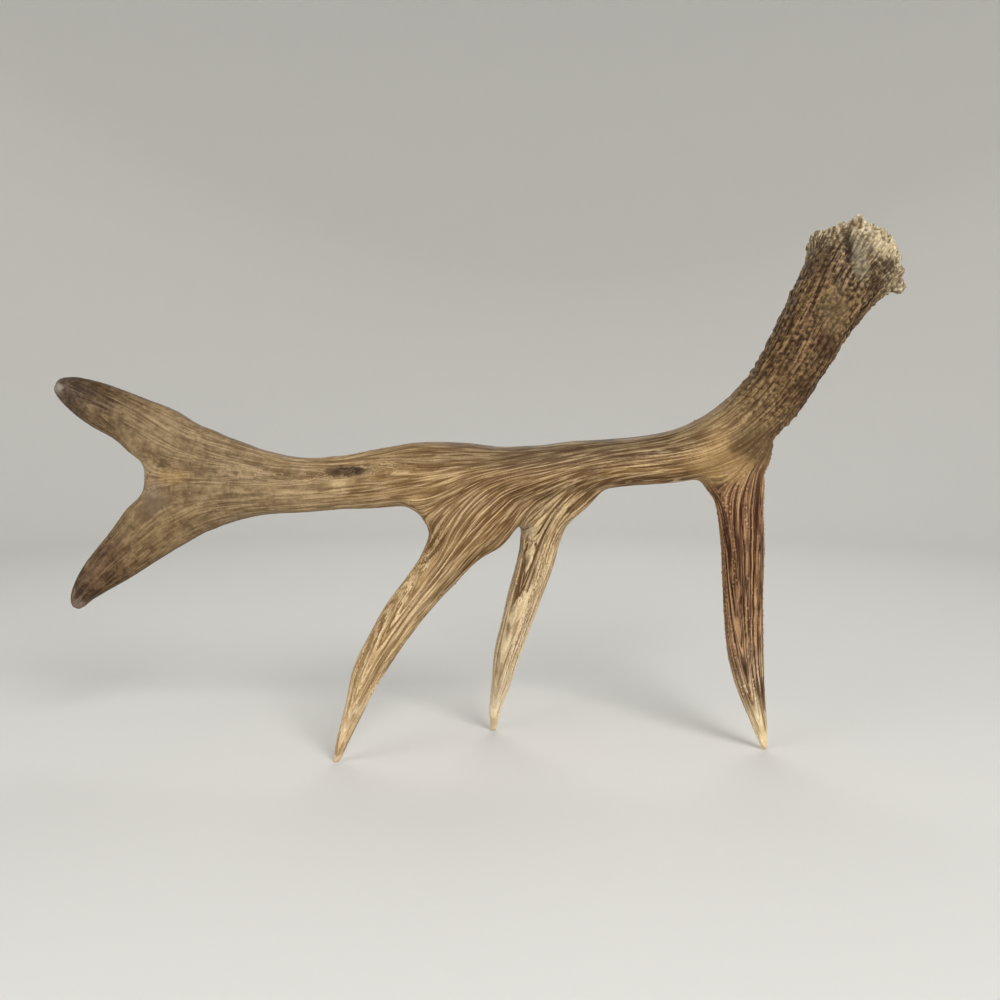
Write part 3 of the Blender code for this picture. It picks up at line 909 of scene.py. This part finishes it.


# ==== The finish of the bone ====
# Dry antler is dense bone: a satin surface whose stain follows the lines of growth. The stain with
# the painted shade of the hollows, the rubbed crests and the polish come from the relief; finer
# lines and pores are drawn here.

GRAINS = {  # mm across and along the growth, and the detail of the noise
    # Real fibres and hair lines are 0.1 to 0.3 mm across: drawn coarser, so that they show.
    "lines": (2.0, 95, 1.0),
    "fibres": (1.5, 26, 1.0),
    "hairs": (3.2, 150, 0.0),
}
PATCHES = {  # size in mm, and the detail and roughness of the noise
    "blotch": (17, 4.0, 0.6),
    "mottle": (4.5, 3.0, 0.7),
    "speck": (1.7, 2.0, 0.7),  # real pores are finer, and would not show
    "broken": (11, 1.0, 0.6),
}
PEBBLE = 3.1  # mm
SKIN_VALUES = {
    "flow": "Vector", "octave": "Fac", "marks": "Vector", "drawn": "Vector",
    "ground": "Color", "stained": "Color", "crest": "Color",
}
LAYERS = (  # pattern, where it starts and is full, its colour, what it goes by, and its strength
    ("blotch", 0.52, 0.64, "crest", "blotched", 0.35),
    ("blotch", 0.50, 0.38, "stained", "blotched", 0.55),
    ("mottle", 0.53, 0.66, "crest", "blotched", 0.4),
    ("mottle", 0.49, 0.36, "stained", "blotched", 0.55),
    ("lines", 0.50, 0.39, "stained", "lined", 0.9),
    ("lines", 0.54, 0.64, "crest", "lined", 0.65),
    ("pale", 0.0, 1.0, "crest", 1.0, 1.0),
    # The dark layer lays the stained colour over the stained grooves and, as painted shade, over
    # the hollows.
    ("dark", 0.0, 1.0, "stained", 1.0, 1.0),
    ("fibres", 0.49, 0.39, "stained", 1.0, 0.55),
    ("fibres", 0.53, 0.64, "crest", "unstained and unshaded", 1.0),
    ("hair", 0.0, 1.0, "crest", "lined", 0.75),
    ("pebbles", 0.32, 0.6, "stained", "pebbled", 1.0),
    ("speck", 0.46, 0.34, "stained", "specked", 1.0),
)


def antler_bone(name, dull, shine, relief):
    """Bone with its stain along the growth: its roughness where coarse and where polished, and how
    deep its finest relief stands in mm."""
    material = bpy.data.materials.new(name)
    material.use_nodes = True
    tree = material.node_tree
    tree.nodes.clear()
    place = node(tree, "ShaderNodeTexCoord").outputs["Object"]
    at = {
        key: node(tree, "ShaderNodeAttribute", {"attribute_name": key}).outputs[output]
        for key, output in SKIN_VALUES.items()
    }
    for key, names in (("marks", "dark pale worn"), ("drawn", "lined blotched coarse")):
        at.update(zip(names.split(), node(tree, "ShaderNodeSeparateXYZ", Vector=at[key]).outputs))

    # Noise along the growth, at two octaves that take over from each other as it fans out.
    for key, (pitch, length, detail) in GRAINS.items():
        level = node(
            tree, "ShaderNodeMath", {"operation": "SUBTRACT"}, _0=at["octave"], _1=math.log2(pitch)
        ).outputs[0]
        lower = node(tree, "ShaderNodeMath", {"operation": "FLOOR"}, _0=level).outputs[0]
        mix = node(tree, "ShaderNodeMath", {"operation": "FRACT"}, _0=level).outputs[0]
        found = []
        for step in (0.0, 1.0):
            this = node(tree, "ShaderNodeMath", {"operation": "ADD"}, _0=lower, _1=step).outputs[0]
            times = node(tree, "ShaderNodeMath", {"operation": "POWER"}, _0=2.0, _1=this).outputs[0]
            apart = node(
                tree, "ShaderNodeMath", {"operation": "MULTIPLY"}, _0=this, _1=OCTAVES_APART
            ).outputs[0]
            scale = node(tree, "ShaderNodeCombineXYZ", X=times, Y=times, Z=1 / (length * MM))
            shift = node(tree, "ShaderNodeCombineXYZ", Z=apart)
            vector = node(
                tree, "ShaderNodeVectorMath", {"operation": "MULTIPLY_ADD"},
                _0=at["flow"], _1=scale.outputs[0], _2=shift.outputs[0],
            ).outputs[0]
            found.append(node(
                tree, "ShaderNodeTexNoise", Vector=vector, Scale=1.0, Detail=detail, Roughness=0.6
            ).outputs[0])
        at[key] = node(
            tree, "ShaderNodeMix", {"data_type": "FLOAT"}, _0=mix, _2=found[0], _3=found[1]
        ).outputs[0]
    for key, (size, detail, roughness) in PATCHES.items():
        at[key] = node(
            tree, "ShaderNodeTexNoise", Vector=place, Scale=1 / (size * MM), Detail=detail,
            Roughness=roughness,
        ).outputs[0]
    at["pebbles"] = node(
        tree, "ShaderNodeTexVoronoi", {"feature": "SMOOTH_F1"}, Vector=place,
        Scale=1 / (PEBBLE * MM), Smoothness=0.35,
    ).outputs["Distance"]

    # Hair lines run where their noise passes through its middle value.
    passing = node(tree, "ShaderNodeMath", {"operation": "SUBTRACT"}, _0=at["hairs"], _1=0.5)
    at["off middle"] = node(
        tree, "ShaderNodeMath", {"operation": "ABSOLUTE"}, _0=passing.outputs[0]
    ).outputs[0]
    ranges = (  # what is made, from what, from where to where, and what it becomes there
        ("thin", "off middle", 0.02, 0.005, 0.0, 1.0),
        ("scattered", "broken", 0.4, 0.6, 0.0, 1.0),
        ("unstained and unshaded", "dark", 0.1, 0.8, 0.45, 0.05),
        ("in groups", "broken", 0.42, 0.58, 0.1, 0.5),
        ("specked", "coarse", 0.0, 1.0, 0.3, 0.65),
        ("polish", "worn", 0.0, 1.0, dull, shine),
        ("clouds", "blotch", 0.3, 0.7, -0.05, 0.06),
        ("pored", "coarse", 0.0, 1.0, 0.25, 1.0),
        ("standing", "worn", 0.3, 1.0, 1.0, 0.35),
    )
    for made, source, start, full, low, high in ranges:
        at[made] = node(
            tree, "ShaderNodeMapRange", Value=at[source],
            From_Min=start, From_Max=full, To_Min=low, To_Max=high,
        ).outputs["Result"]
    sums = (  # what is made, how, and from which two values
        ("hair", "MULTIPLY", "thin", "scattered"),
        ("pebbled", "MULTIPLY", "coarse", "in groups"),
        ("satin", "ADD", "polish", "clouds"),
        ("rougher where dark", "MULTIPLY", "dark", 0.08),
        ("rough", "ADD", "satin", "rougher where dark"),
        ("pores", "MULTIPLY", "speck", "pored"),
        ("pebble rise", "MULTIPLY", "pebbles", "coarse"),
        ("grain", "ADD", "lines", "fibres"),
        ("grain rise", "MULTIPLY", "grain", 0.5),
        ("pored rise", "ADD", "grain rise", "pores"),
        ("rise", "SUBTRACT", "pored rise", "pebble rise"),
        ("height", "MULTIPLY", "rise", "standing"),
    )
    for made, operation, one, other in sums:
        at[made] = node(
            tree, "ShaderNodeMath", {"operation": operation}, _0=at[one], _1=at.get(other, other)
        ).outputs[0]

    colour = at["ground"]
    for pattern, start, full, over, by, strength in LAYERS:
        reach = node(
            tree, "ShaderNodeMapRange", Value=at[pattern], From_Min=start, From_Max=full,
            To_Min=0.0, To_Max=strength,
        ).outputs["Result"]
        amount = node(
            tree, "ShaderNodeMath", {"operation": "MULTIPLY"}, _0=reach, _1=at.get(by, by)
        ).outputs[0]
        colour = node(
            tree, "ShaderNodeMix", {"data_type": "RGBA"}, _0=amount, _6=colour, _7=at[over]
        ).outputs[2]
    bump = node(
        tree, "ShaderNodeBump", Strength=0.8, Distance=relief * MM, Height=at["height"]
    ).outputs["Normal"]
    shader = node(
        tree, "ShaderNodeBsdfPrincipled", Base_Color=colour, Roughness=at["rough"], Normal=bump,
        IOR=1.5, Specular_IOR_Level=0.18,
    )
    node(tree, "ShaderNodeOutputMaterial", Surface=shader.outputs["BSDF"])
    return material


# ==== The burr and the base of the beam ====
# The burr is the crown of knobs that grew round the foot of the antler, where it was cast from the
# skull; the pale pitted seal closes it. Ridges and pearls cover the dark base above it.

# Pearled and stained in the velvet: almost matt and dark, with pale glints on rubbed knobs only.
pearled = antler_bone("Antler bone, pearled and stained", 0.64, 0.44, 0.6)
base_piece = parted("beam_base")
base_piece.data.materials.append(pearled)

# ==== The brow tine ====
# The first tine, grown downwards over the brow: dark red-brown, with beaded crests that were rubbed
# pale and a cream tip polished on trees and soil.

# Beaded, then rubbed on trees: red-brown grooves between pale broken lines, glossier at the tip.
beaded = antler_bone("Antler bone, beaded and rubbed", 0.60, 0.42, 0.6)
brow_piece = parted("brow_tine")
brow_piece.data.materials.append(beaded)

# ==== The middle of the beam ====
# Satin bone with long grain lines, which sweep out of the beam into the two middle tines.

# Grained and handled to a satin: long golden and brown lines with a broad, soft sheen.
grained = antler_bone("Antler bone, grained and satin", 0.60, 0.44, 0.5)
mid_piece = parted("mid_beam")
mid_piece.data.materials.append(grained)

# ==== The two middle tines ====
# Fluted golden bone that turns to cream towards the tips, where it is polished.

# Fluted, with the crests polished: golden streaks that pale and brighten towards the tips.
fluted = antler_bone("Antler bone, fluted and polished", 0.58, 0.42, 0.5)
for name in ("front_tine", "back_tine"):
    tine_piece = parted(name)
    tine_piece.data.materials.append(fluted)

# ==== The upper beam and the fork ====
# The beam flattens into a smooth mottled web with two blunt prongs: the last bone to grow.

# Smooth and weathered: grey-brown and golden mottle under an even satin sheen.
smooth = antler_bone("Antler bone, smooth and mottled", 0.56, 0.44, 0.4)
for name in ("upper_beam", "top_fork_tine", "low_fork_tine"):
    fork_piece = parted(name)
    fork_piece.data.materials.append(smooth)
bpy.data.meshes.remove(fine)

# ==== The studio ====
# A plain pale floor that turns up into a wall all round, large soft lights, and a camera that looks
# along the ground at the height of the antler.

FLAT_RADIUS = 1.9
BEND_RADIUS = 0.8
WALL_HEIGHT = 2.4
TURNS = 96
profile = [(r, 0.0) for r in np.linspace(0.05, FLAT_RADIUS, 14)]
profile += [
    (FLAT_RADIUS + BEND_RADIUS * math.sin(a), BEND_RADIUS * (1 - math.cos(a)))
    for a in np.linspace(0.1, math.pi / 2, 12)
]
profile.append((FLAT_RADIUS + BEND_RADIUS, WALL_HEIGHT))
sweep = bmesh.new()
rings = [
    [
        sweep.verts.new((r * math.cos(a), r * math.sin(a), z))
        for a in (2 * math.pi * k / TURNS for k in range(TURNS))
    ]
    for r, z in profile
]
sweep.faces.new(rings[0])
for inner, outer in zip(rings, rings[1:]):
    for k in range(TURNS):
        sweep.faces.new((inner[k], outer[k], outer[(k + 1) % TURNS], inner[(k + 1) % TURNS]))
sweep_mesh = bpy.data.meshes.new("studio_floor")
sweep.to_mesh(sweep_mesh)
sweep.free()
sweep_mesh.shade_smooth()
floor = placed("studio_floor", sweep_mesh)
paper = bpy.data.materials.new("Matt paper, pale")
paper.use_nodes = True
surface = paper.node_tree.nodes["Principled BSDF"]
surface.inputs["Base Color"].default_value = (*linear("#DAD8D3"), 1.0)
surface.inputs["Roughness"].default_value = 0.9
surface.inputs["Specular IOR Level"].default_value = 0.2
floor.data.materials.append(paper)

LIGHTS = (  # place, size and strength in watts
    ("key", (0.9, -1.7, 1.5), 1.1, 34),
    ("fill", (-1.5, -1.3, 1.0), 1.6, 14),
    ("back", (0.2, 1.6, 1.9), 1.6, 14),
)
for name, place, size, power in LIGHTS:
    lamp = bpy.data.lights.new(name, "AREA")
    lamp.shape = "DISK"
    lamp.size = size
    lamp.energy = power
    lamp_object = bpy.data.objects.new(name, lamp)
    lamp_object.location = place
    aim = Vector((0, 0, 0.2)) - Vector(place)
    lamp_object.rotation_euler = aim.to_track_quat("-Z", "Y").to_euler()
    bpy.context.scene.collection.objects.link(lamp_object)
world = bpy.data.worlds.new("studio")
world.use_nodes = True
sky = world.node_tree.nodes["Background"]
sky.inputs["Color"].default_value = (0.95, 0.97, 1.0, 1.0)
sky.inputs["Strength"].default_value = 0.36
bpy.context.scene.world = world

CAMERA_PLACE = (0.0157, -0.9039, 0.2794)
CAMERA_PITCH = 90 - 3.719
camera = bpy.data.objects.new("camera", bpy.data.cameras.new("camera"))
camera.data.lens = 36
camera.data.sensor_width = 36
camera.location = CAMERA_PLACE
camera.rotation_euler = (math.radians(CAMERA_PITCH), 0, 0)
bpy.context.scene.collection.objects.link(camera)
bpy.context.scene.camera = camera
bpy.context.scene.view_settings.view_transform = "Standard"
